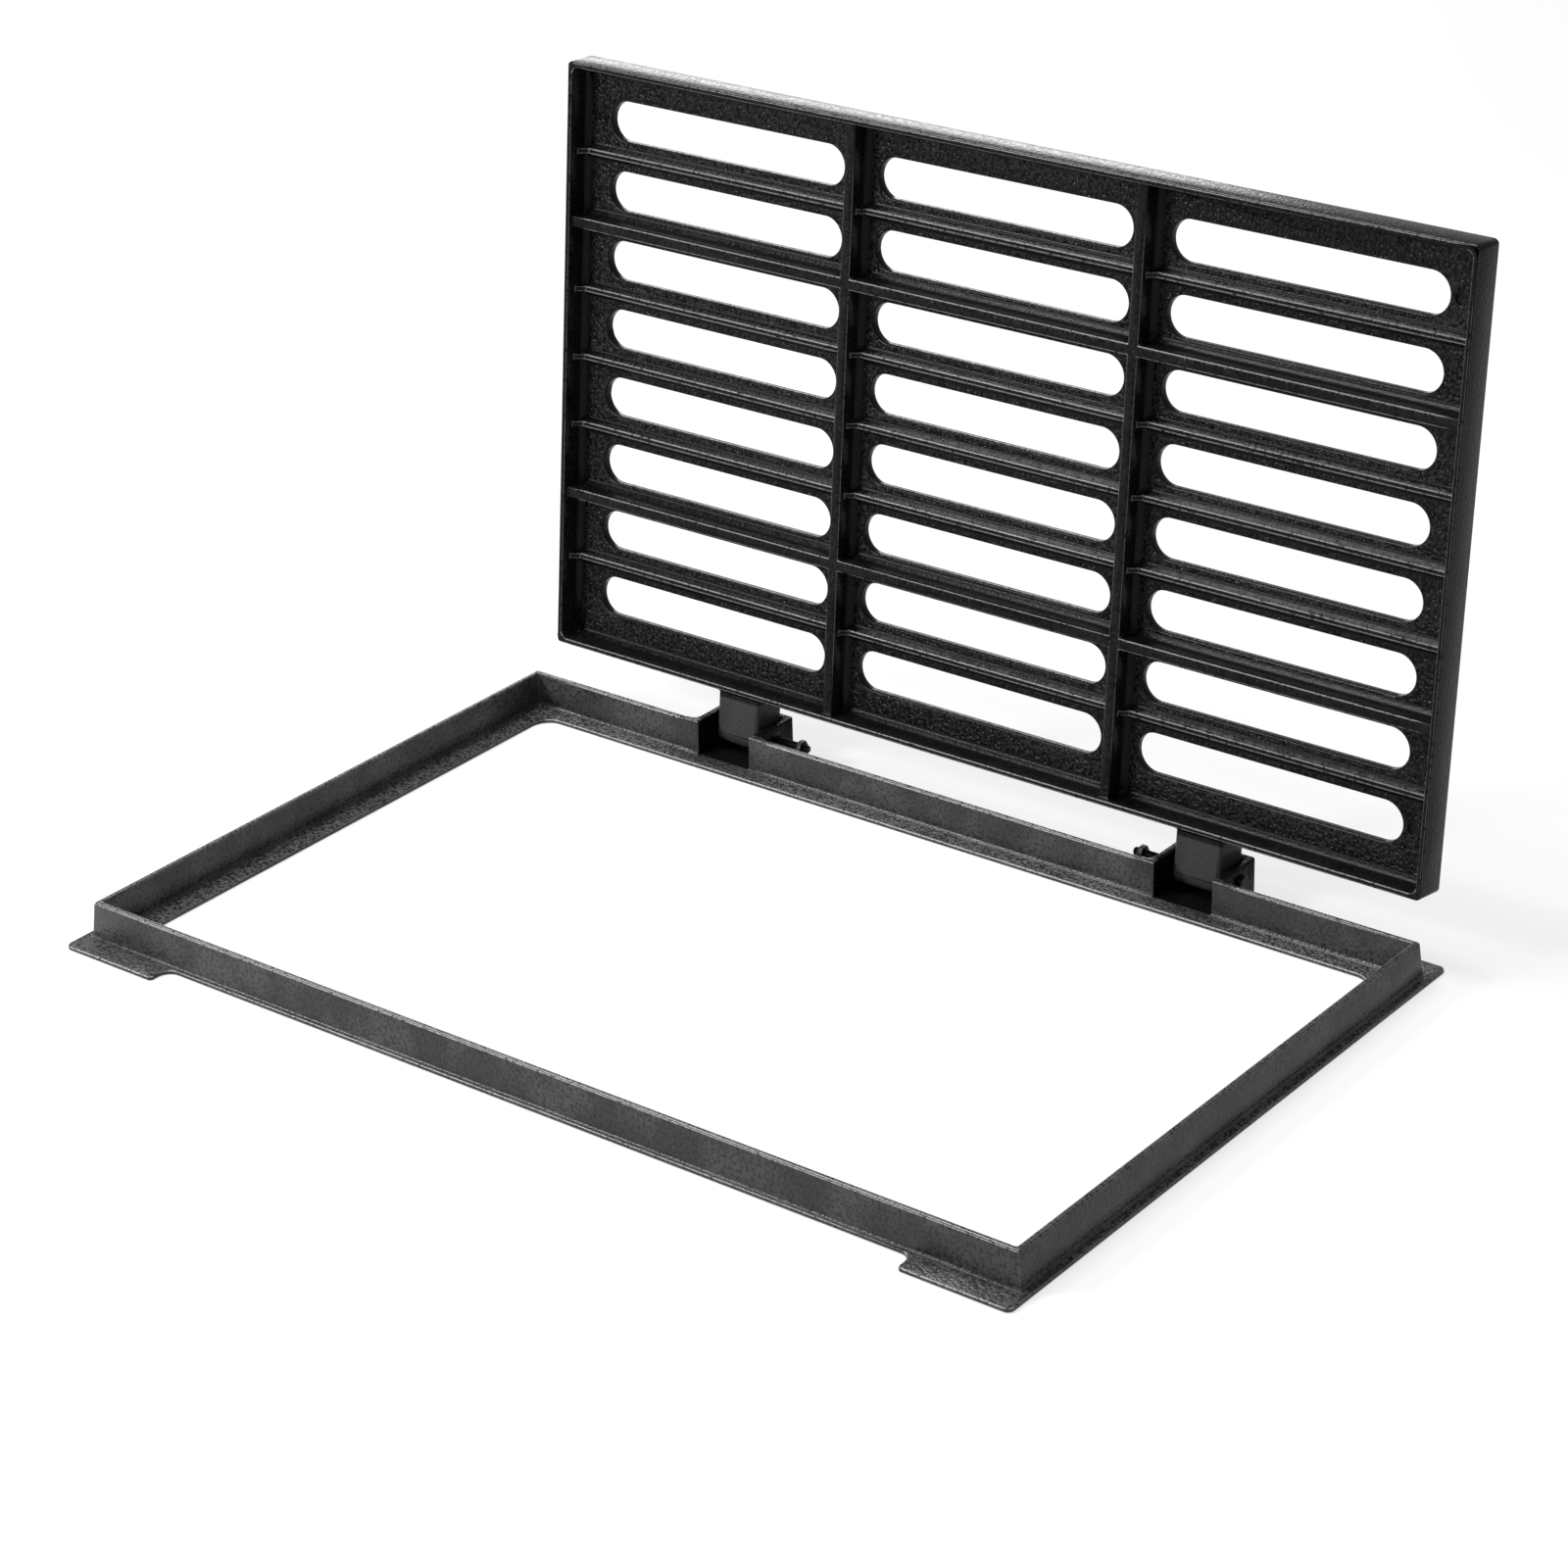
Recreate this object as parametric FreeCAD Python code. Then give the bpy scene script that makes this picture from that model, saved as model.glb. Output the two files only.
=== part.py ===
import FreeCAD, Part
import math
import os

# Hinged drain grate in its frame, in millimetres, standing open as in the photograph.
# X runs along the long side, Y to the hinge side, Z up from the frame's bedding face.

# Frame casting
frame_length = 750.0        # over the walls' top edges, along X
frame_width = 450.0         # over the walls' top edges, along Y
frame_height = 28.5
wall_top_t = 4.5            # wall thickness at its top edge
inner_draft = 1.2           # degrees, inner face of the wall
outer_draft = 4.5           # degrees, outer face of the wall
wall_edge = 1.0             # bevel of the wall's top edges
ledge_width = 12.0          # seat inside the wall
ledge_corner_r = 14.0
ledge_fillet = 3.0
side_lip_width = 3.0        # strip outside the foot of each long wall
end_lip_width = 6.5         # strip outside the foot of each short wall
lip_fillet = 2.0
ear_length = 80.0
ear_reach = 21.0            # beyond the wall's top edge
ear_corner_r = 5.0
ear_end_r = 3.0
ear_blend_r = 9.0

# Hinge pockets of the frame
hinge_offset = 196.0        # each hinge from the middle of the frame
pocket_width = 46.0         # inside
pocket_wall = 5.6
pocket_corner_r = 2.5
pocket_inner_r = 1.5
pocket_flare = 6.0

# Grate casting
grate_depth = 25.0          # top face to crest of the skirt
end_gap = 3.5               # at each short end, at the top face
side_gap = 2.3              # at each long side, at the top face
grate_corner_r = 4.0
grate_edge = 1.2            # bevel round the top face
crest_edge = 1.0            # bevel of the skirt crest's outer edge
skirt_crest = 4.0
skirt_draft = 2.0           # degrees, outer face of the skirt
cell_draft = 3.0            # degrees, sides of the hollow cells
cell_corner_r = 5.0         # inner corners of the skirt
cell_foot = 3.5             # bevel at the foot of the skirt and of the deep ribs
plate_t = 7.0
rib_width = 7.5             # crest of the deep ribs
rib_drop = 3.5              # deep ribs below the skirt's crest
slot_length = 206.5
slot_width = 29.0
slot_columns = 3
slot_rows = 8
column_pitch = 236.0
row_pitch = 50.6
deep_rib_after = (2, 6)     # rows, counted from the free edge
low_rib_crest = 3.5
low_rib_foot = 10.0
low_rib_height = 4.5
low_rib_rise = 6.0          # gusset at each end
dimple_d = 8.0
dimple_depth = 1.5
dimple_offset = 8.0         # beyond the end of a corner slot

# Hinge lugs of the grate
lug_top_width = 42.0
lug_low_width = 36.5
lug_t = 23.0
lug_low_r = 3.0
lean = 6.0                  # degrees past upright, on the stop

# Hinge bolts and nuts
pin_setback = 23.0          # hinge axis behind the rear wall's outer top edge
bolt_d = 6.0
bolt_length = 85.0          # under the head
bolt_head_d = 12.0
bolt_head_t = 3.0
bolt_head_edge = 1.0        # bevel
bolt_end_chamfer = 0.8
nut_across_flats = 10.0
nut_t = 5.0
nut_edge = 0.7              # bevel of both end faces
nut_tail = 4.0              # bolt showing past the nut

# Clearances
seat_gap = 0.3              # under the closed grate's skirt
stop_gap = 0.3              # lug to pocket rim when open
hole_gap = 0.05             # radial, bolt in the frame
bore_gap = 0.08             # radial, bolt in the lug
thread_gap = 0.03           # radial, bolt in the nut

# Derived from the values above
base_t = frame_height - grate_depth - seat_gap
wall_rise = frame_height - base_t
wall_foot = wall_rise * math.tan(math.radians(outer_draft))
half_length = frame_length / 2
half_width = frame_width / 2
grate_half_x = half_length - wall_top_t - end_gap
grate_half_y = half_width - wall_top_t - side_gap
grate_low = frame_height - grate_depth
plate_low = frame_height - plate_t
lug_half = lug_t / 2
pin_y = half_width + pin_setback
pin_z = frame_height - lug_half
lean_rad = math.radians(lean)
rim_reach = (lug_half * (1 + math.sin(lean_rad)) + stop_gap) / math.cos(lean_rad)
pocket_back = pin_y + rim_reach
pocket_outer = pocket_width + 2 * pocket_wall
bolt_r = bolt_d / 2
X_AXIS = FreeCAD.Vector(1, 0, 0)
Y_AXIS = FreeCAD.Vector(0, 1, 0)
Z_AXIS = FreeCAD.Vector(0, 0, 1)


def corner_arc(before, here, after, radius):
    """Start, middle and end of the arc that rounds one corner."""
    to_before = (before - here).normalize()
    to_after = (after - here).normalize()
    half = to_before.getAngle(to_after) / 2
    bisector = (to_before + to_after).normalize()
    reach = radius / math.tan(half)
    middle = here + bisector * (radius / math.sin(half) - radius)
    return here + to_before * reach, middle, here + to_after * reach


def outline(points, place):
    """Closed face through (u, v, corner radius) points, set in space by place(u, v)."""
    at = [FreeCAD.Vector(u, v, 0) for u, v, r in points]
    spans = []
    for i, (u, v, radius) in enumerate(points):
        if radius > 0:
            spans.append(corner_arc(at[i - 1], at[i], at[(i + 1) % len(at)], radius))
        else:
            spans.append((at[i],))
    edges = []
    for i, span in enumerate(spans):
        here = [place(p.x, p.y) for p in span]
        if len(here) == 3:
            edges.append(Part.Arc(*here).toShape())
        follow = spans[(i + 1) % len(spans)][0]
        start = here[-1]
        end = place(follow.x, follow.y)
        if (end - start).Length > 1e-6:
            edges.append(Part.makeLine(start, end))
    return Part.Face(Part.Wire(edges))


def flat(points, low, high):
    """Upright prism on a plan outline."""
    face = outline(points, lambda u, v: FreeCAD.Vector(u, v, low))
    return face.extrude(Z_AXIS * (high - low))


def across(points, start, end):
    """Prism along X on a (y, z) outline."""
    face = outline(points, lambda u, v: FreeCAD.Vector(start, u, v))
    return face.extrude(X_AXIS * (end - start))


def rectangle(x0, x1, y0, y1, radius):
    return [(x0, y0, radius), (x1, y0, radius), (x1, y1, radius), (x0, y1, radius)]


def frustum(x0, x1, y0, y1, z0, z1, inset):
    """Box from z0 to z1 whose sides come in by inset at z1."""
    wedge = Part.makeWedge(x0, z0, -y1, -y1 + inset, x0 + inset, x1, z1, -y0, -y0 - inset, x1 - inset)
    wedge.rotate(FreeCAD.Vector(), X_AXIS, 90)
    return wedge


def sloping_edges(solid):
    return [e for e in solid.Edges if abs(e.Vertexes[0].Z - e.Vertexes[1].Z) > 1e-3]


def level_edges(solid, z):
    return [e for e in solid.Edges if abs(e.BoundBox.ZMin - z) + abs(e.BoundBox.ZMax - z) < 1e-3]


def mirrored(shape, across_x, across_y):
    if across_x:
        shape = shape.mirror(FreeCAD.Vector(), X_AXIS)
    if across_y:
        shape = shape.mirror(FreeCAD.Vector(), Y_AXIS)
    return shape


def rod(radius, start, length):
    """Cylinder on the hinge axis, from x = start."""
    return Part.makeCylinder(radius, length, FreeCAD.Vector(start, pin_y, pin_z), X_AXIS)


def frame_section(lip_width):
    """Wall, ledge and lip as a (distance outward, height) outline."""
    inside = -wall_top_t
    root = inside - wall_rise * math.tan(math.radians(inner_draft))
    lip = wall_foot + lip_width
    return [
        (-wall_top_t - ledge_width, 0, 0),
        (lip, 0, 0),
        (lip, base_t, 0),
        (wall_foot, base_t, lip_fillet),
        (0, frame_height - wall_edge, 0),
        (-wall_edge, frame_height, 0),
        (inside + wall_edge, frame_height, 0),
        (inside, frame_height - wall_edge, 0),
        (root, base_t, ledge_fillet),
        (-wall_top_t - ledge_width, base_t, 0),
    ]


def frame_side(half_run, half_across, lip_width):
    """One side along X, mitred at both ends, with its outer top edge at y = half_across."""
    far = half_across + 2 * ear_reach
    section = [(half_across + u, v, r) for u, v, r in frame_section(lip_width)]
    side = across(section, -2 * half_run, 2 * half_run)
    tip = half_run - half_across
    miter = [(-tip, 0, 0), (tip, 0, 0), (tip + far, far, 0), (-tip - far, far, 0)]
    if tip < 0:
        miter = [(0, -tip, 0), (half_run + far - half_across, far, 0), (-half_run - far + half_across, far, 0)]
    return side.common(flat(miter, -1, frame_height + 1))


def ear():
    """Foot at the corner of positive X and Y, blended into the lip."""
    outer = half_length + wall_foot + end_lip_width
    inner = outer - ear_length
    far = half_width + ear_reach
    lip = half_width + wall_foot + side_lip_width
    tail = inner - ear_blend_r - 1
    points = [
        (outer, half_width, 0),
        (outer, far, ear_corner_r),
        (inner, far, ear_end_r),
        (inner, lip, ear_blend_r),
        (tail, lip, 0),
        (tail, half_width, 0),
    ]
    return flat(points, 0, base_t)


def pocket_body(x):
    """Outside of one hinge pocket, with a flare to the rear wall on each side."""
    left = x - pocket_outer / 2
    right = x + pocket_outer / 2
    rear = pocket_back + pocket_wall
    inside = half_width - wall_top_t
    points = [
        (left - pocket_flare - 1, inside, 0),
        (right + pocket_flare + 1, inside, 0),
        (right + pocket_flare + 1, half_width, 0),
        (right, half_width, pocket_flare),
        (right, rear, pocket_corner_r),
        (left, rear, pocket_corner_r),
        (left, half_width, pocket_flare),
        (left - pocket_flare - 1, half_width, 0),
    ]
    return flat(points, 0, frame_height)


def pocket_space(x):
    """Inside of one hinge pocket, open through the rear wall."""
    left = x - pocket_width / 2
    right = x + pocket_width / 2
    front = half_width - wall_top_t - ledge_width / 2
    points = [
        (left, front, 0),
        (right, front, 0),
        (right, pocket_back, pocket_inner_r),
        (left, pocket_back, pocket_inner_r),
    ]
    return flat(points, base_t, frame_height + 1)


def ledge_corner():
    """Web that rounds the opening's corner at positive X and Y."""
    x = half_length - wall_top_t - ledge_width
    y = half_width - wall_top_t - ledge_width
    square = Part.makeBox(ledge_corner_r, ledge_corner_r, base_t)
    square.translate(FreeCAD.Vector(x - ledge_corner_r, y - ledge_corner_r, 0))
    centre = FreeCAD.Vector(x - ledge_corner_r, y - ledge_corner_r, -1)
    return square.cut(Part.makeCylinder(ledge_corner_r, base_t + 2, centre))


def make_frame():
    long_side = frame_side(half_length, half_width, side_lip_width)
    short_side = frame_side(half_width, half_length, end_lip_width)
    short_side.rotate(FreeCAD.Vector(), Z_AXIS, -90)
    pieces = [long_side.mirror(FreeCAD.Vector(), Y_AXIS), short_side, short_side.mirror(FreeCAD.Vector(), X_AXIS)]
    for flip_x in (False, True):
        for flip_y in (False, True):
            pieces.append(mirrored(ear(), flip_x, flip_y))
            pieces.append(mirrored(ledge_corner(), flip_x, flip_y))
    for x in (-hinge_offset, hinge_offset):
        pieces.append(pocket_body(x))
    body = long_side.multiFuse(pieces).removeSplitter()
    holes = []
    for x in (-hinge_offset, hinge_offset):
        holes.append(pocket_space(x))
        holes.append(rod(bolt_r + hole_gap, x - pocket_outer, 2 * pocket_outer))
    return body.cut(holes)


def row_y(row):
    """Middle of a slot row, row 0 being at the free edge."""
    return (row - (slot_rows - 1) / 2) * row_pitch


def rib_y(row):
    """Middle of the bar after a number of rows."""
    return (row_y(row - 1) + row_y(row)) / 2


def column_x(column):
    return (column - (slot_columns - 1) / 2) * column_pitch


def cell_edges(limit, ribs, half_rib):
    """Pairs of bounds between the skirt and the deep ribs along one axis."""
    marks = [-limit]
    for rib in ribs:
        marks.extend([rib - half_rib, rib + half_rib])
    marks.append(limit)
    return [(marks[i], marks[i + 1]) for i in range(0, len(marks), 2)]


def slot(x, y):
    """Cutter for one slot, with half-round ends."""
    end_r = slot_width / 2
    reach = slot_length / 2 - end_r
    at = [(-reach, -end_r), (reach, -end_r), (reach + end_r, 0), (reach, end_r), (-reach, end_r), (-reach - end_r, 0)]
    p = [FreeCAD.Vector(x + u, y + v, plate_low - 1) for u, v in at]
    right_end = Part.Arc(p[1], p[2], p[3]).toShape()
    left_end = Part.Arc(p[4], p[5], p[0]).toShape()
    rim = Part.Wire([Part.makeLine(p[0], p[1]), right_end, Part.makeLine(p[3], p[4]), left_end])
    return Part.Face(rim).extrude(Z_AXIS * (plate_t + 2))


def low_rib(y, x0, x1):
    """Shallow rib across one cell, with a gusset where it meets a wall at each end."""
    crest = plate_low - low_rib_height
    sink = plate_t / 2
    bar = across([
        (y - low_rib_foot / 2, plate_low, 0),
        (y - low_rib_foot / 2, plate_low + sink, 0),
        (y + low_rib_foot / 2, plate_low + sink, 0),
        (y + low_rib_foot / 2, plate_low, 0),
        (y + low_rib_crest / 2, crest, 0),
        (y - low_rib_crest / 2, crest, 0),
    ], x0, x1)
    side = y - low_rib_crest / 2
    profile = [
        (x0, plate_low, 0),
        (x0, crest - low_rib_rise, 0),
        (x0 + low_rib_rise, crest, 0),
        (x1 - low_rib_rise, crest, 0),
        (x1, crest - low_rib_rise, 0),
        (x1, plate_low, 0),
    ]
    web = outline(profile, lambda u, v: FreeCAD.Vector(u, side, v)).extrude(Y_AXIS * low_rib_crest)
    return [bar, web]


def lug(x):
    """Hinge lug with tapered sides and a round end about the hinge axis."""
    low = frame_height - lug_t
    start = grate_half_y - skirt_crest
    section = [
        (x - lug_low_width / 2, low, lug_low_r),
        (x + lug_low_width / 2, low, lug_low_r),
        (x + lug_top_width / 2, frame_height, 0),
        (x - lug_top_width / 2, frame_height, 0),
    ]
    bar = outline(section, lambda u, v: FreeCAD.Vector(u, start, v)).extrude(Y_AXIS * (pin_y + lug_t - start))
    arm = across(rectangle(start, pin_y, low, frame_height, 0), x - lug_top_width, x + lug_top_width)
    arm = arm.fuse(rod(lug_half, x - lug_top_width, 2 * lug_top_width))
    return bar.common(arm)


def drafted_space(inner_x, inner_y, x_span, y_span, high):
    """Hollow inside the skirt, its sides drafted from the crest's level up to a height."""
    inset = (high - grate_low) * math.tan(math.radians(cell_draft))
    space = frustum(*x_span, *y_span, grate_low, high, inset)
    corners = []
    for edge in sloping_edges(space):
        at = edge.CenterOfMass
        if abs(at.x) + inset > inner_x and abs(at.y) + inset > inner_y:
            corners.append(edge)
    if corners:
        space = space.makeFillet(cell_corner_r, corners)
    return space


def make_grate():
    """Grate in its closed place; the free edge is at negative Y."""
    slope = grate_depth * math.tan(math.radians(skirt_draft))
    foot_x = grate_half_x - slope
    foot_y = grate_half_y - slope
    body = frustum(-foot_x, foot_x, -foot_y, foot_y, grate_low, frame_height, -slope)
    body = body.makeFillet(grate_corner_r, sloping_edges(body))
    body = body.makeChamfer(grate_edge, level_edges(body, frame_height))
    body = body.makeChamfer(crest_edge, level_edges(body, grate_low))
    inner_x = foot_x - skirt_crest
    inner_y = foot_y - skirt_crest
    rib_xs = [(column_x(i) + column_x(i + 1)) / 2 for i in range(slot_columns - 1)]
    rib_ys = [rib_y(row) for row in deep_rib_after]
    columns = cell_edges(inner_x, rib_xs, rib_width / 2)
    body = body.cut(drafted_space(inner_x, inner_y, (-inner_x, inner_x), (-inner_y, inner_y), grate_low + rib_drop))
    cells = []
    for x_span in columns:
        for y_span in cell_edges(inner_y, rib_ys, rib_width / 2):
            cell = drafted_space(inner_x, inner_y, x_span, y_span, plate_low)
            cells.append(cell.makeChamfer(cell_foot, level_edges(cell, plate_low)))
    body = body.cut(cells)
    added = [lug(-hinge_offset), lug(hinge_offset)]
    for row in range(1, slot_rows):
        if row in deep_rib_after:
            continue
        for x0, x1 in columns:
            added.extend(low_rib(rib_y(row), x0, x1))
    body = body.multiFuse(added).removeSplitter()
    openings = [slot(column_x(i), row_y(j)) for i in range(slot_columns) for j in range(slot_rows)]
    mark_x = column_x(slot_columns - 1) + slot_length / 2 + dimple_offset
    for x in (-mark_x, mark_x):
        for row in (0, slot_rows - 1):
            at = FreeCAD.Vector(x, row_y(row), plate_low - dimple_depth)
            openings.append(Part.makeCylinder(dimple_d / 2, 2 * dimple_depth, at))
    for x in (-hinge_offset, hinge_offset):
        openings.append(rod(bolt_r + bore_gap, x - lug_top_width, 2 * lug_top_width))
    return body.cut(openings)


def make_bolt():
    """Right-hand bolt, its head seated on the pocket's outer side."""
    seat = hinge_offset + pocket_outer / 2
    head = rod(bolt_head_d / 2, seat, bolt_head_t)
    outer = [e for e in head.Edges if e.BoundBox.XMin > seat + bolt_head_t - 1e-3]
    head = head.makeChamfer(bolt_head_edge, outer)
    shank = rod(bolt_r, seat - bolt_length, bolt_length)
    tail = [e for e in shank.Edges if e.BoundBox.XMax < seat - bolt_length + 1e-3]
    shank = shank.makeChamfer(bolt_end_chamfer, tail)
    return head.fuse(shank).removeSplitter()


def make_nut():
    """Right-hand nut near the bolt's tail, a flat upward."""
    start = hinge_offset + pocket_outer / 2 - bolt_length + nut_tail
    reach = nut_across_flats / math.sqrt(3)
    corners = []
    for i in range(6):
        angle = math.radians(60 * i)
        corners.append((pin_y + reach * math.cos(angle), pin_z + reach * math.sin(angle), 0))
    body = across(corners, start, start + nut_t)
    ends = [e for e in body.Edges if e.BoundBox.XLength < 1e-3]
    body = body.makeChamfer(nut_edge, ends)
    return body.cut(rod(bolt_r + thread_gap, start - 1, nut_t + 2))


frame = make_frame()
grate = make_grate()
grate.rotate(FreeCAD.Vector(0, pin_y, pin_z), X_AXIS, -(90 + lean))
bolt_right = make_bolt()
bolt_left = bolt_right.mirror(FreeCAD.Vector(), X_AXIS)
nut_right = make_nut()
nut_left = nut_right.mirror(FreeCAD.Vector(), X_AXIS)
nodes = {
    "frame": frame,
    "grate": grate,
    "hinge_bolt_left": bolt_left,
    "hinge_bolt_right": bolt_right,
    "hinge_nut_left": nut_left,
    "hinge_nut_right": nut_right,
}

# The origin is the middle of the open assembly's footprint box, on the bedding face.
box = Part.makeCompound(list(nodes.values())).optimalBoundingBox(False)
middle = FreeCAD.Vector(0, -(box.YMin + box.YMax) / 2, 0)
os.makedirs("parts", exist_ok=True)
for name, shape in nodes.items():
    shape.translate(middle)
    shape.exportStep("parts/" + name + ".step")
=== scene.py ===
import math

import bmesh
import bpy
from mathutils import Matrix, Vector
from mathutils.bvhtree import BVHTree


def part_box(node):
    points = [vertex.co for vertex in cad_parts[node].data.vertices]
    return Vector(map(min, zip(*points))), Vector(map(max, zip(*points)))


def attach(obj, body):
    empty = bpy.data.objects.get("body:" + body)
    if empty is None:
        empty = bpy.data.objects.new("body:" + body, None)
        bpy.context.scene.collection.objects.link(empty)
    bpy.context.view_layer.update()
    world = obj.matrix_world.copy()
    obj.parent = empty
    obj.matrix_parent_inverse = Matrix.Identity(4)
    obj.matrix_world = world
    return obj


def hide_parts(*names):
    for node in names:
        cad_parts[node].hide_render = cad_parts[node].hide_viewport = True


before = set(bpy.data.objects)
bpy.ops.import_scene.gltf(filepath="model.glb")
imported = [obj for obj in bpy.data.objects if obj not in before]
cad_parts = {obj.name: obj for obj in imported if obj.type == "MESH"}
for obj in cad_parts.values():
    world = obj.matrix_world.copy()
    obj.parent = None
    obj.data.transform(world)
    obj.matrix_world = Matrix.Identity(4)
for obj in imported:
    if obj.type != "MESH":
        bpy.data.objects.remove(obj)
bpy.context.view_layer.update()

# Hinged drain grate: black painted iron castings on steel hinge bolts, standing open on a pale floor.
# Lengths are in metres, in the frame's own axes.

MM = 0.001
ALONG_X = Vector((1, 0, 0))
ALONG_Y = Vector((0, 1, 0))
ALONG_Z = Vector((0, 0, 1))

# Roundings
EDGE_ROUNDING = 1.0 * MM        # outer edges of the castings
FOOT_ROUNDING = 1.6 * MM        # inner corners, at the feet of ribs and walls
NUT_ROUNDING = 0.2 * MM
ROUNDING_SHARE = 0.4            # of the narrower face beside an edge, at most
ROUNDING_STEPS = 2
ROUNDING_DEPTH = 0.33           # of the rounding, the furthest that it leaves the sharp solid
MERGE_DISTANCE = 0.004 * MM
FLAT_ANGLE = math.radians(1)
CREASE_ANGLE = math.radians(22)

# Open grate
LEAN = math.radians(6)
PLATE_FACING = Vector((0, -math.cos(LEAN), math.sin(LEAN)))
UP_PLATE = Vector((0, math.sin(LEAN), math.cos(LEAN)))
HINGE = Vector((0, 0.216979, 0.017))
PLATE_DEPTHS = (4.5 * MM, 11.5 * MM)    # both faces of the plate, behind the hinge axis
FIRST_ROW = 70.9 * MM           # slot row next to the hinge, from the hinge axis
ROW_PITCH = 50.6 * MM
ROWS = 8
LUG_TOP = 44 * MM

# Frame
OPENING_MIDDLE = Vector((0, -31.02 * MM, 0))
OPENING_HALF = (358.5 * MM, 208.5 * MM)
OPENING_CORNER = 14 * MM
LEDGE_EXTRA = (5.5 * MM, 2.5 * MM)      # wider at the short and the long sides
LEDGE_TOP = 3.2 * MM
LEDGE_REACH = 225 * MM          # from the opening's middle to the long walls
HINGE_OFFSET = 196 * MM         # each hinge from the middle
POCKET_HALF = 23 * MM           # inside
POCKET_OUTER_HALF = 35 * MM     # outside, over the flares
POCKET_FRONT = 188 * MM
WALL_BACK = 194.5 * MM          # outer face of the rear wall

# Planes that divide long faces, so that each rounding stays local
FRAME_CUTS = [(ALONG_X * x, ALONG_X) for x in (-0.325, -0.238, -0.154, 0, 0.154, 0.238, 0.325)]
FRAME_CUTS += [(ALONG_Y * y, ALONG_Y) for y in (-0.22, 0, 0.15)]
GRATE_CUTS = [(ALONG_X * x, ALONG_X) for x in (-0.348, -0.1295, -0.1065, 0.1065, 0.1295, 0.348)]
GRATE_CUTS += [(HINGE + UP_PLATE * (FIRST_ROW + ROW_PITCH * i), UP_PLATE) for i in range(ROWS)]

# Values that the meshes hold for the paint
FACING_SHARE = 0.98             # how squarely a flat face looks out of the mould
LEVEL_REACH = 0.3 * MM          # of a broad face from its level
RIM_REACH = 1.2 * MM            # of its rim
CREST_SAND = 0.2                # share of the sand grain that shows on narrow crests
LENGTHWISE = 0.7                # share of an edge that runs along X
SIDE_WEAR_AND_HIGHLIGHT = 0.5                 # edges across the length get less worn paint and painted highlight than those along it

# Hinge bolts
THREAD_PITCH = 1.0 * MM
THREAD_DEPTH = 0.5 * MM
THREAD_RUN = 34 * MM            # from the tail
THREAD_SIDES = 32
RINGS_PER_PITCH = 6
TAIL_CHAMFER = 0.8 * MM
SHANK_RADIUS = 3 * MM
HEAD_THICKNESS = 3 * MM
HEAD_EDGE = 1 * MM
SHARP_ANGLE = math.radians(60)

# Skin of a sand casting; heights are shares of the grain's
SWELL_SCALE = 30.0              # per metre
SWELL_HEIGHT = 0.8
NODULES_PER_GRAIN = 0.85
NODULE_EDGE = (0.08, 0.36)      # from the middle of its cell
NODULE_EMPTY = 0.6              # share of cells without one
NODULE_HEIGHT = 0.5

# Paint: ranges of the skin's values over which a look comes in
SWELL_RANGE = (0.35, 0.65)
PIT_RANGE = (0.36, 0.56)
PEAK_RANGE = (0.45, 0.6)
DOT_RANGE = (0.5, 0.66)
WEAR_AND_HIGHLIGHT_RANGE = (0.22, 0.5)
ROUGH_RANGE = (0.3, 0.7)
EDGE_RANGE = (0.1, 0.9)
FOOT_RANGE = (-0.9, -0.1)

# Paint: shades as shares of the film's own, and how strongly each look covers it
THIN_FILM = 0.7
THICK_FILM = 1.35
# Painted shade, in the grain's hollows and in the feet of walls and ribs
DARK_FILM = 0.3
# Painted light on the grain's tops on the broad faces
LIT_PEAK_FILM = 2.2
# Painted glints on the nodules of the broad faces
DOT_SHADE = 0.12                # a shade by itself
PIT_COVER = 0.75
GRIME_AND_SHADE_COVER = 0.8
DOT_COVER = 0.7
SMOOTHER = 0.07                 # roughness, around the paint's own
ROUGHER = 0.08
GRIME_ROUGHNESS = 0.2
WORN_ROUGHNESS = -0.06

# Studio
FLOOR_HALF = 12
FLOOR_SHADE = 0.8
FLOOR_ROUGHNESS = 0.9
FLOOR_GLOW = 0.7                # share, as the camera and reflections see it
WORLD_STRENGTH = 0.5

# Camera, at the photograph's place
CAMERA_AT = (1.5710, -1.9481, 1.3385)
CAMERA_TURN = (65.754, 1.196, 36.847)
CAMERA_LENS = 98.21
CAMERA_SENSOR = 36.0
CAMERA_SHIFT = (-0.0542, -0.0871)


def new_object(name, bm):
    """Mesh object at the origin, made from a bmesh that is freed here."""
    mesh = bpy.data.meshes.new(name)
    bm.to_mesh(mesh)
    bm.free()
    obj = bpy.data.objects.new(name, mesh)
    bpy.context.scene.collection.objects.link(obj)
    return obj


def merged_copy(node, cuts):
    """Bmesh of a CAD node with its triangles joined to whole faces, divided by some planes."""
    bm = bmesh.new()
    bm.from_mesh(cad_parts[node].data)
    bmesh.ops.remove_doubles(bm, verts=bm.verts, dist=MERGE_DISTANCE)
    bmesh.ops.dissolve_limit(bm, angle_limit=FLAT_ANGLE, verts=bm.verts, edges=bm.edges)
    for point, facing in cuts:
        everything = bm.verts[:] + bm.edges[:] + bm.faces[:]
        bmesh.ops.bisect_plane(bm, geom=everything, plane_co=point, plane_no=facing)
    return bm


def widen_ledge(bm):
    """Move the ledge's inner edge further into the opening."""
    near = 0.1 * MM
    for vert in bm.verts:
        at = vert.co - OPENING_MIDDLE
        if all(abs(at[i]) < OPENING_HALF[i] + near for i in (0, 1)):
            for i in (0, 1):
                if abs(at[i]) > OPENING_HALF[i] - OPENING_CORNER - near:
                    vert.co[i] -= math.copysign(LEDGE_EXTRA[i], at[i])


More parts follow.
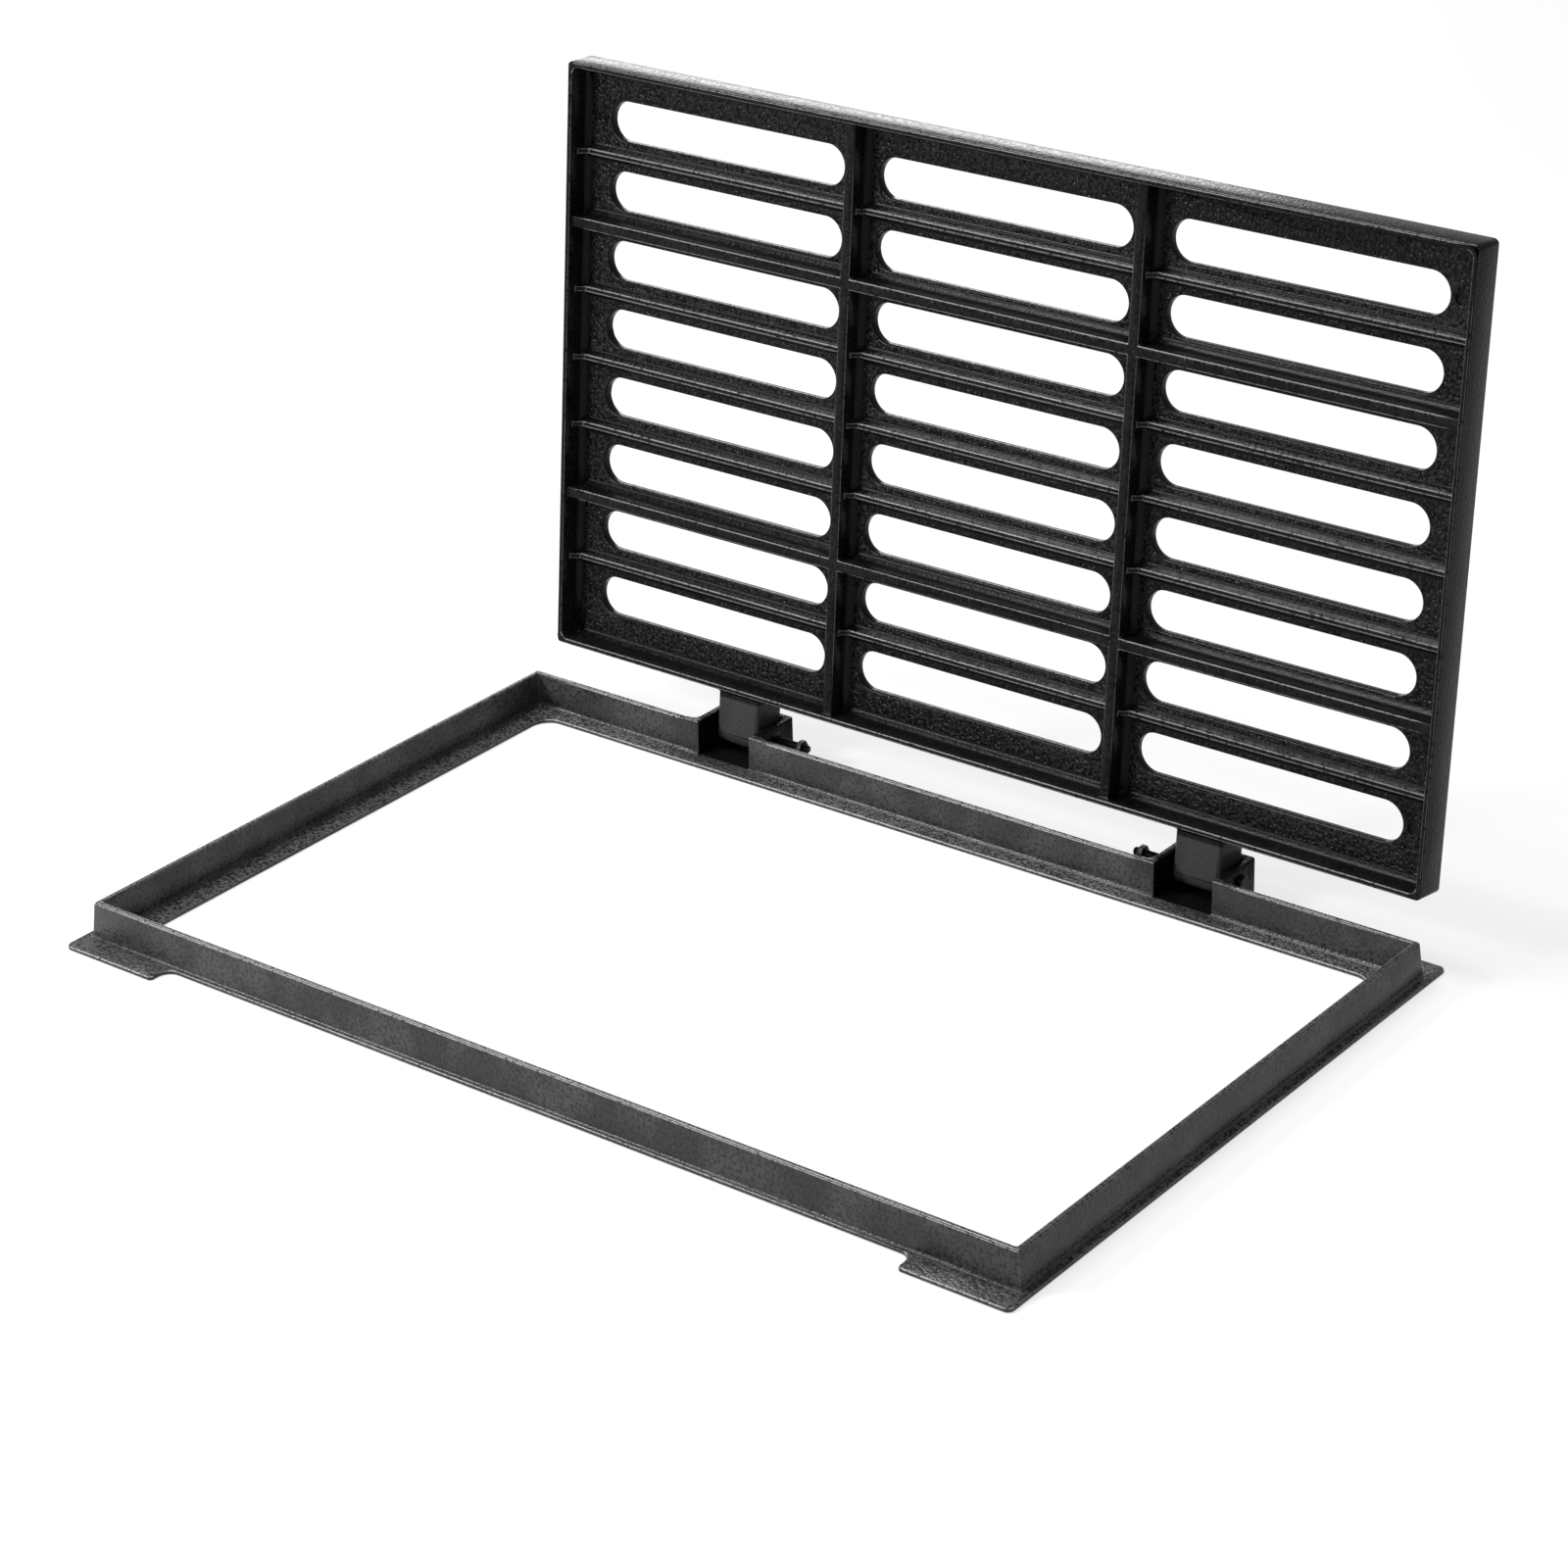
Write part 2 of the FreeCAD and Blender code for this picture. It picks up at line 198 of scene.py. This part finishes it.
def mark_roundings(bm, outer, inner):
    """Bevel weights for outer edges and inner corners, none on smooth or flat joins."""
    weight = bm.edges.layers.float.new("bevel_weight_edge")
    for edge in bm.edges:
        angle = edge.calc_face_angle_signed(0)
        if abs(angle) > CREASE_ANGLE:
            narrow = min(face.calc_area() for face in edge.link_faces) / edge.calc_length()
            width = min(outer if angle > 0 else inner, ROUNDING_SHARE * narrow)
            edge[weight] = width / inner


def bend_at(vert, facing, levels, rim_wear_and_highlight):
    """Paint value of a vertex in the middle of a rounding: how strongly it is painted worn and
    highlighted, or -1 in a foot, where grime and painted shade go.
    """
    if sum(edge.calc_face_angle_signed(0) for edge in vert.link_edges) < 0:
        return -1
    rim = any(abs(vert.co.dot(facing) - level) < RIM_REACH for level in levels)
    sheen_and_wear = rim_wear_and_highlight if rim else 1
    longest = max(vert.link_edges, key=lambda edge: edge.calc_length())
    run = (longest.verts[0].co - longest.verts[1].co).normalized()
    return sheen_and_wear if abs(run.x) > LENGTHWISE else sheen_and_wear * SIDE_WEAR_AND_HIGHLIGHT


def mark_skin(mesh, facing, levels, reach, rim_wear_and_highlight):
    """Face-corner values for the paint, on a mesh whose rounded faces have the second material.

    edge is 1 along the middle of rounded outer edges, where the paint is worn and gets painted
    highlights, rim_wear_and_highlight on those beside the broad faces, less across the length, and -1
    along rounded feet, where grime and painted shade go;
    sand is 1 on the broad faces at the given levels and within reach of the opening's middle,
    less on other faces that lie flat in the mould.
    """
    bm = bmesh.new()
    bm.from_mesh(mesh)
    bends = []
    for vert in bm.verts:
        rounded = all(face.material_index == 1 for face in vert.link_faces)
        bends.append(bend_at(vert, facing, levels, rim_wear_and_highlight) if rounded else 0)
    bm.free()
    for name in ("edge", "sand"):
        mesh.attributes.new(name, "FLOAT", "CORNER")
    edge, sand = (mesh.attributes[name] for name in ("edge", "sand"))
    for face in mesh.polygons:
        rounded = face.material_index == 1
        flat = 0
        if not rounded and abs(face.normal.dot(facing)) > FACING_SHARE:
            broad = any(abs(face.center.dot(facing) - level) < LEVEL_REACH for level in levels)
            broad = broad and abs(face.center.y - OPENING_MIDDLE.y) < reach
            flat = 1 if broad else CREST_SAND
        for corner in face.loop_indices:
            edge.data[corner].value = bends[mesh.loops[corner].vertex_index] if rounded else 0
            sand.data[corner].value = flat


def place(obj, node, body):
    """Put a finished piece in a node's place."""
    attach(obj, body)
    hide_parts(node)


def keep_close(mesh, surface, depth, box):
    """Pull vertices back that lie further than depth from the sharp solid, or outside its box."""
    for vert in mesh.vertices:
        nearest, _, _, distance = surface.find_nearest(vert.co)
        if distance > depth:
            vert.co = nearest
        vert.co = [min(max(at, low), high) for at, low, high in zip(vert.co, *box)]


def rounded_solid(node, body, slot, material, skin_at, outer, inner, cuts=()):
    """Copy of a solid with its edges and feet rounded."""
    bm = merged_copy(node, cuts)
    if node == "frame":
        widen_ledge(bm)
    mark_roundings(bm, outer, inner)
    for face in bm.faces:
        face.smooth = True
    surface = BVHTree.FromBMesh(bm)
    sharp = new_object(node + "_sharp", bm)
    rounding = sharp.modifiers.new("rounding", "BEVEL")
    rounding.limit_method = "WEIGHT"
    rounding.width = inner
    rounding.segments = ROUNDING_STEPS
    rounding.use_clamp_overlap = False
    rounding.harden_normals = True
    rounding.material = 1
    sharp.data.materials.append(material)
    sharp.data.materials.append(material)
    shaped = sharp.evaluated_get(bpy.context.evaluated_depsgraph_get())
    mesh = bpy.data.meshes.new_from_object(shaped)
    bpy.data.objects.remove(sharp)
    keep_close(mesh, surface, ROUNDING_DEPTH * inner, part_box(node))
    mark_skin(mesh, *skin_at)
    for face in mesh.polygons:
        face.material_index = 0
    mesh.materials.pop(index=1)
    obj = bpy.data.objects.new(node + "_piece", mesh)
    bpy.context.scene.collection.objects.link(obj)
    place(obj, node, body)


def threaded_bolt(node, material):
    """Hinge bolt with a cut thread from its tail and a flat round head."""
    low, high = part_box(node)
    middle = (low + high) / 2
    head_radius = (high.z - low.z) / 2
    outward = 1 if middle.x > 0 else -1
    tail = low.x if outward > 0 else high.x
    length = high.x - low.x - HEAD_THICKNESS

    def shank(along):
        def radius(turn):
            wave = abs(2 * ((along / THREAD_PITCH + turn) % 1) - 1)
            fade = min(1, (THREAD_RUN - along) / THREAD_PITCH)
            cut = max(0, fade) * THREAD_DEPTH * wave
            return min(SHANK_RADIUS - cut, SHANK_RADIUS - TAIL_CHAMFER + along)
        return along, radius

    count = int(THREAD_RUN / THREAD_PITCH * RINGS_PER_PITCH)
    rings = [shank(THREAD_RUN * i / count) for i in range(count + 1)]
    for along, size in (
        (length, SHANK_RADIUS),
        (length, head_radius),
        (length + HEAD_THICKNESS - HEAD_EDGE, head_radius),
        (length + HEAD_THICKNESS, head_radius - HEAD_EDGE),
    ):
        rings.append((along, lambda turn, size=size: size))
    bm = bmesh.new()
    loops = []
    for along, radius in rings:
        x = tail + outward * along
        loop = []
        for side in range(THREAD_SIDES):
            turn = side / THREAD_SIDES
            angle = 2 * math.pi * turn
            r = radius(turn)
            y = middle.y + r * math.cos(angle)
            z = middle.z + r * math.sin(angle)
            loop.append(bm.verts.new((x, y, z)))
        loops.append(loop)
    for one, two in zip(loops, loops[1:]):
        for side in range(THREAD_SIDES):
            after = (side + 1) % THREAD_SIDES
            bm.faces.new((one[side], one[after], two[after], two[side]))
    bm.faces.new(loops[0])
    bm.faces.new(loops[-1])
    bmesh.ops.recalc_face_normals(bm, faces=bm.faces)
    for face in bm.faces:
        face.smooth = len(face.verts) == 4
    for edge in bm.edges:
        edge.smooth = edge.calc_face_angle(0) < SHARP_ANGLE
    obj = new_object(node + "_piece", bm)
    obj.data.materials.append(material)
    place(obj, node, "fixed_frame")


class Wiring:
    """Short way to add nodes to one tree."""

    def __init__(self, tree):
        self.tree = tree

    def node(self, kind, **settings):
        node = self.tree.nodes.new("ShaderNode" + kind)
        for key, value in settings.items():
            setattr(node, key, value)
        return node

    def put(self, value, socket):
        """Link a socket to another, or set it to a plain value."""
        if isinstance(value, bpy.types.NodeSocket):
            self.tree.links.new(value, socket)
        else:
            socket.default_value = value

    def math(self, operation, a, b=0.0, c=0.0, clamp=False):
        node = self.node("Math", operation=operation, use_clamp=clamp)
        for value, socket in zip((a, b, c), node.inputs):
            self.put(value, socket)
        return node.outputs[0]

    def product(self, a, b):
        return self.math("MULTIPLY", a, b)

    def spread(self, value, low, high, new_low=0.0, new_high=1.0):
        """Smooth step from new_low to new_high as a value goes from low to high."""
        node = self.node("MapRange", interpolation_type="SMOOTHSTEP")
        for given, socket in zip((value, low, high, new_low, new_high), node.inputs):
            self.put(given, socket)
        return node.outputs[0]

    def noise(self, at, scale, detail):
        node = self.node("TexNoise")
        self.put(at, node.inputs["Vector"])
        self.put(scale, node.inputs["Scale"])
        self.put(detail, node.inputs["Detail"])
        self.put(0.5, node.inputs["Roughness"])
        return node.outputs["Fac"]

    def blend(self, amount, a, b):
        node = self.node("Mix", data_type="RGBA")
        self.put(amount, node.inputs["Factor"])
        self.put(a, node.inputs[6])
        self.put(b, node.inputs[7])
        return node.outputs[2]

    def position(self):
        """X, Y and Z on the piece."""
        node = self.node("SeparateXYZ")
        self.put(self.node("TexCoord").outputs["Object"], node.inputs[0])
        return node.outputs

    def attribute(self, name):
        return self.node("Attribute", attribute_name=name).outputs["Fac"]


def gray(value, warmth=0.0):
    return (value * (1 + warmth), value, value * (1 - warmth), 1)


def principled(name):
    """New material with its shader, as (material, wiring, shader)."""
    material = bpy.data.materials.new(name)
    material.use_nodes = True
    return material, Wiring(material.node_tree), material.node_tree.nodes["Principled BSDF"]


def sand_skin():
    """Shared skin of a sand casting: grain, nodules and swell, by themselves and as one height."""
    tree = bpy.data.node_groups.new("sand_skin", "ShaderNodeTree")
    tree.interface.new_socket("Grain Size", in_out="INPUT", socket_type="NodeSocketFloat")
    for name in ("Height", "Grain", "Nodules", "Swell"):
        tree.interface.new_socket(name, in_out="OUTPUT", socket_type="NodeSocketFloat")
    w = Wiring(tree)
    at = w.node("TexCoord").outputs["Object"]
    size = tree.nodes.new("NodeGroupInput").outputs["Grain Size"]
    out = tree.nodes.new("NodeGroupOutput")
    grain = w.noise(at, w.math("DIVIDE", 1.0, size), 1.0)
    swell = w.noise(at, SWELL_SCALE, 2.0)
    cells = w.node("TexVoronoi")
    w.put(at, cells.inputs["Vector"])
    w.put(w.math("DIVIDE", NODULES_PER_GRAIN, size), cells.inputs["Scale"])
    dots = w.spread(cells.outputs["Distance"], *NODULE_EDGE, 1.0, 0.0)
    pick = w.node("SeparateColor")
    w.put(cells.outputs["Color"], pick.inputs[0])
    nodules = w.product(dots, w.math("GREATER_THAN", pick.outputs[0], NODULE_EMPTY))
    height = w.math("MULTIPLY_ADD", nodules, NODULE_HEIGHT, grain)
    w.put(w.math("MULTIPLY_ADD", swell, SWELL_HEIGHT, height), out.inputs["Height"])
    w.put(grain, out.inputs["Grain"])
    w.put(nodules, out.inputs["Nodules"])
    w.put(swell, out.inputs["Swell"])
    return tree


def pocket_shade(w):
    """Mask of the hinge pockets, inside and behind the rear wall, where shade is painted into the
    frame's paint.
    """
    at = w.position()
    aside = w.math("SUBTRACT", w.math("ABSOLUTE", at["X"]), HINGE_OFFSET)
    aside = w.math("ABSOLUTE", aside)
    between = w.spread(aside, POCKET_HALF, POCKET_HALF + MM, 1.0, 0.0)
    inside = w.product(between, w.spread(at["Y"], POCKET_FRONT, POCKET_FRONT + 2 * MM))
    around = w.spread(aside, POCKET_OUTER_HALF - MM, POCKET_OUTER_HALF, 1.0, 0.0)
    behind = w.product(around, w.spread(at["Y"], WALL_BACK, WALL_BACK + MM))
    return w.math("MAXIMUM", inside, behind)


def lug_patch(w):
    """Mask of the hinge lugs, where the grate's paint is lighter."""
    return w.spread(w.position()["Z"], LUG_TOP - MM, LUG_TOP + MM, 1.0, 0.0)


def black_paint(name, skin, grain_size, relief, flat_relief, rough, film, gloss, rub_and_highlight, patch=None):
    """Black paint over a cast skin: worn grey with painted highlights on the outer edges, grime and
    painted shade in the feet, painted shade in the grain's hollows and painted light on its tops and
    nodules.

    relief is the height of the skin, flat_relief its height on the broad faces;
    rough, film and gloss are the paint's roughness, shade and specular level, rub_and_highlight the
    shade of the worn edges with their painted highlights, and patch a mask with the film and gloss
    painted under it: painted shade in the frame's hinge pockets, a lighter film on the grate's lugs.
    """
    material, w, shader = principled(name)
    cast = w.node("Group", node_tree=skin)
    w.put(grain_size, cast.inputs["Grain Size"])
    grain, nodules, swell = (cast.outputs[n] for n in ("Grain", "Nodules", "Swell"))
    edge = w.attribute("edge")
    sand = w.attribute("sand")

    # Worn paint on the outer edges, with painted highlights along them
    wear_and_edge_highlight = w.product(w.spread(edge, *EDGE_RANGE), w.spread(grain, *WEAR_AND_HIGHLIGHT_RANGE))
    # Feet: grime, and painted shade where walls and ribs meet
    grime_and_foot_shade = w.spread(edge, *FOOT_RANGE, GRIME_AND_SHADE_COVER, 0.0)
    # Painted shade in the hollows of the grain
    pits = w.spread(grain, *PIT_RANGE, PIT_COVER, 0.0)
    # Painted light on the tops of the grain on the broad faces
    peaks = w.product(sand, w.spread(grain, *PEAK_RANGE))
    # Painted glints on the nodules of the broad faces
    dots = w.product(w.product(nodules, sand), w.spread(grain, *DOT_RANGE))
    thick = w.spread(swell, *SWELL_RANGE)
    color = w.blend(thick, gray(film * THIN_FILM), gray(film * THICK_FILM, 0.02))
    color = w.blend(pits, color, gray(film * DARK_FILM))
    color = w.blend(peaks, color, gray(film * LIT_PEAK_FILM))
    color = w.blend(grime_and_foot_shade, color, gray(film * DARK_FILM, 0.05))
    color = w.blend(w.product(dots, DOT_COVER), color, gray(DOT_SHADE))
    color = w.blend(wear_and_edge_highlight, color, gray(rub_and_highlight, 0.01))
    if patch:
        mask, patch_film, patch_gloss = patch
        cover = mask(w)
        color = w.blend(cover, color, gray(patch_film))
        gloss = w.spread(cover, 0.0, 1.0, gloss, patch_gloss)
    w.put(color, shader.inputs["Base Color"])
    w.put(gloss, shader.inputs["Specular IOR Level"])

    rough = w.spread(grain, *ROUGH_RANGE, rough - SMOOTHER, rough + ROUGHER)
    rough = w.math("MULTIPLY_ADD", grime_and_foot_shade, GRIME_ROUGHNESS, rough)
    rough = w.math("MULTIPLY_ADD", wear_and_edge_highlight, WORN_ROUGHNESS, rough)
    w.put(rough, shader.inputs["Roughness"])

    bump = w.node("Bump")
    bump.inputs["Strength"].default_value = 1.0
    bump.inputs["Distance"].default_value = 1.0
    relief = w.spread(sand, 0.0, 1.0, relief, flat_relief)
    w.put(w.product(cast.outputs["Height"], relief), bump.inputs["Height"])
    w.put(bump.outputs["Normal"], shader.inputs["Normal"])
    return material


def floor():
    """Pale floor that looks white and still takes a shadow."""
    bm = bmesh.new()
    bmesh.ops.create_grid(bm, x_segments=1, y_segments=1, size=FLOOR_HALF)
    obj = new_object("floor", bm)
    material, w, shader = principled("pale_floor")
    shader.inputs["Base Color"].default_value = gray(FLOOR_SHADE)
    shader.inputs["Roughness"].default_value = FLOOR_ROUGHNESS
    path = w.node("LightPath")
    seen = w.math("ADD", path.outputs["Is Camera Ray"], path.outputs["Is Glossy Ray"])
    seen = w.math("ADD", seen, path.outputs["Is Transmission Ray"], clamp=True)
    mix = w.node("MixShader")
    w.put(w.product(seen, FLOOR_GLOW), mix.inputs["Fac"])
    w.put(shader.outputs[0], mix.inputs[1])
    w.put(w.node("Emission").outputs[0], mix.inputs[2])
    w.put(mix.outputs[0], material.node_tree.nodes["Material Output"].inputs["Surface"])
    obj.data.materials.append(material)


def softbox(name, at, aim, size, glow):
    """Area light of a given surface brightness."""
    light = bpy.data.lights.new(name, "AREA")
    light.shape = "RECTANGLE"
    light.size, light.size_y = size
    light.energy = glow * math.pi * size[0] * size[1]
    obj = bpy.data.objects.new(name, light)
    obj.location = at
    obj.rotation_euler = (Vector(aim) - Vector(at)).to_track_quat("-Z", "Y").to_euler()
    obj.visible_camera = False
    bpy.context.scene.collection.objects.link(obj)


def studio():
    world = bpy.data.worlds.new("studio")
    world.use_nodes = True
    background = world.node_tree.nodes["Background"]
    background.inputs["Color"].default_value = gray(1)
    background.inputs["Strength"].default_value = WORLD_STRENGTH
    bpy.context.scene.world = world
    softbox("overhead_left", at=(-0.8, 0.0, 2.2), aim=(0, 0, 0.2), size=(1.1, 1.1), glow=13)
    softbox("front_left", at=(-1.5, -1.7, 1.4), aim=(0, 0.1, 0.2), size=(0.5, 0.5), glow=75)
    softbox("behind_left", at=(-1.9, 2.3, 0.95), aim=(0, 0.2, 0.4), size=(1.5, 0.9), glow=4.5)


def camera():
    data = bpy.data.cameras.new("camera")
    data.lens = CAMERA_LENS
    data.sensor_width = CAMERA_SENSOR
    data.shift_x, data.shift_y = CAMERA_SHIFT
    obj = bpy.data.objects.new("camera", data)
    obj.location = CAMERA_AT
    obj.rotation_euler = [math.radians(a) for a in CAMERA_TURN]
    bpy.context.scene.collection.objects.link(obj)
    bpy.context.scene.camera = obj


skin = sand_skin()
# The frame's hinge pockets get painted shade: a darker, duller film
frame_paint = black_paint(
    "frame_black_paint", skin, grain_size=2.4 * MM, relief=0.4 * MM, flat_relief=2.0 * MM,
    rough=0.30, film=0.034, gloss=0.26, rub_and_highlight=0.28, patch=(pocket_shade, 0.003, 0.04))
# The grate's hinge lugs get a lighter film
grate_paint = black_paint(
    "grate_black_paint", skin, grain_size=2.6 * MM, relief=0.2 * MM, flat_relief=2.2 * MM,
    rough=0.24, film=0.005, gloss=0.09, rub_and_highlight=0.18, patch=(lug_patch, 0.036, 0.09))
hinge_paint = black_paint(
    "hinge_black_paint", skin, grain_size=0.8 * MM, relief=0.03 * MM, flat_relief=0.03 * MM,
    rough=0.34, film=0.005, gloss=0.1, rub_and_highlight=0.1)

# Facing and levels of the broad faces, their reach, and how strongly their rims are painted worn and
# highlighted
plate_levels = [HINGE.dot(PLATE_FACING) - depth for depth in PLATE_DEPTHS]
seat_skin = (ALONG_Z, [LEDGE_TOP], LEDGE_REACH, 1)
plate_skin = (PLATE_FACING, plate_levels, 1, 0.3)
castings = (EDGE_ROUNDING, FOOT_ROUNDING)
rounded_solid(
    "frame", "fixed_frame", "frame_iron", frame_paint, seat_skin, *castings, FRAME_CUTS)
rounded_solid(
    "grate", "swinging_grate", "grate_iron", grate_paint, plate_skin, *castings, GRATE_CUTS)
for side in ("left", "right"):
    rounded_solid(
        "hinge_nut_" + side, "fixed_frame", "hinge_steel", hinge_paint, seat_skin,
        NUT_ROUNDING, NUT_ROUNDING)
    threaded_bolt("hinge_bolt_" + side, hinge_paint)
floor()
studio()
camera()
bpy.context.scene.view_settings.view_transform = "Standard"
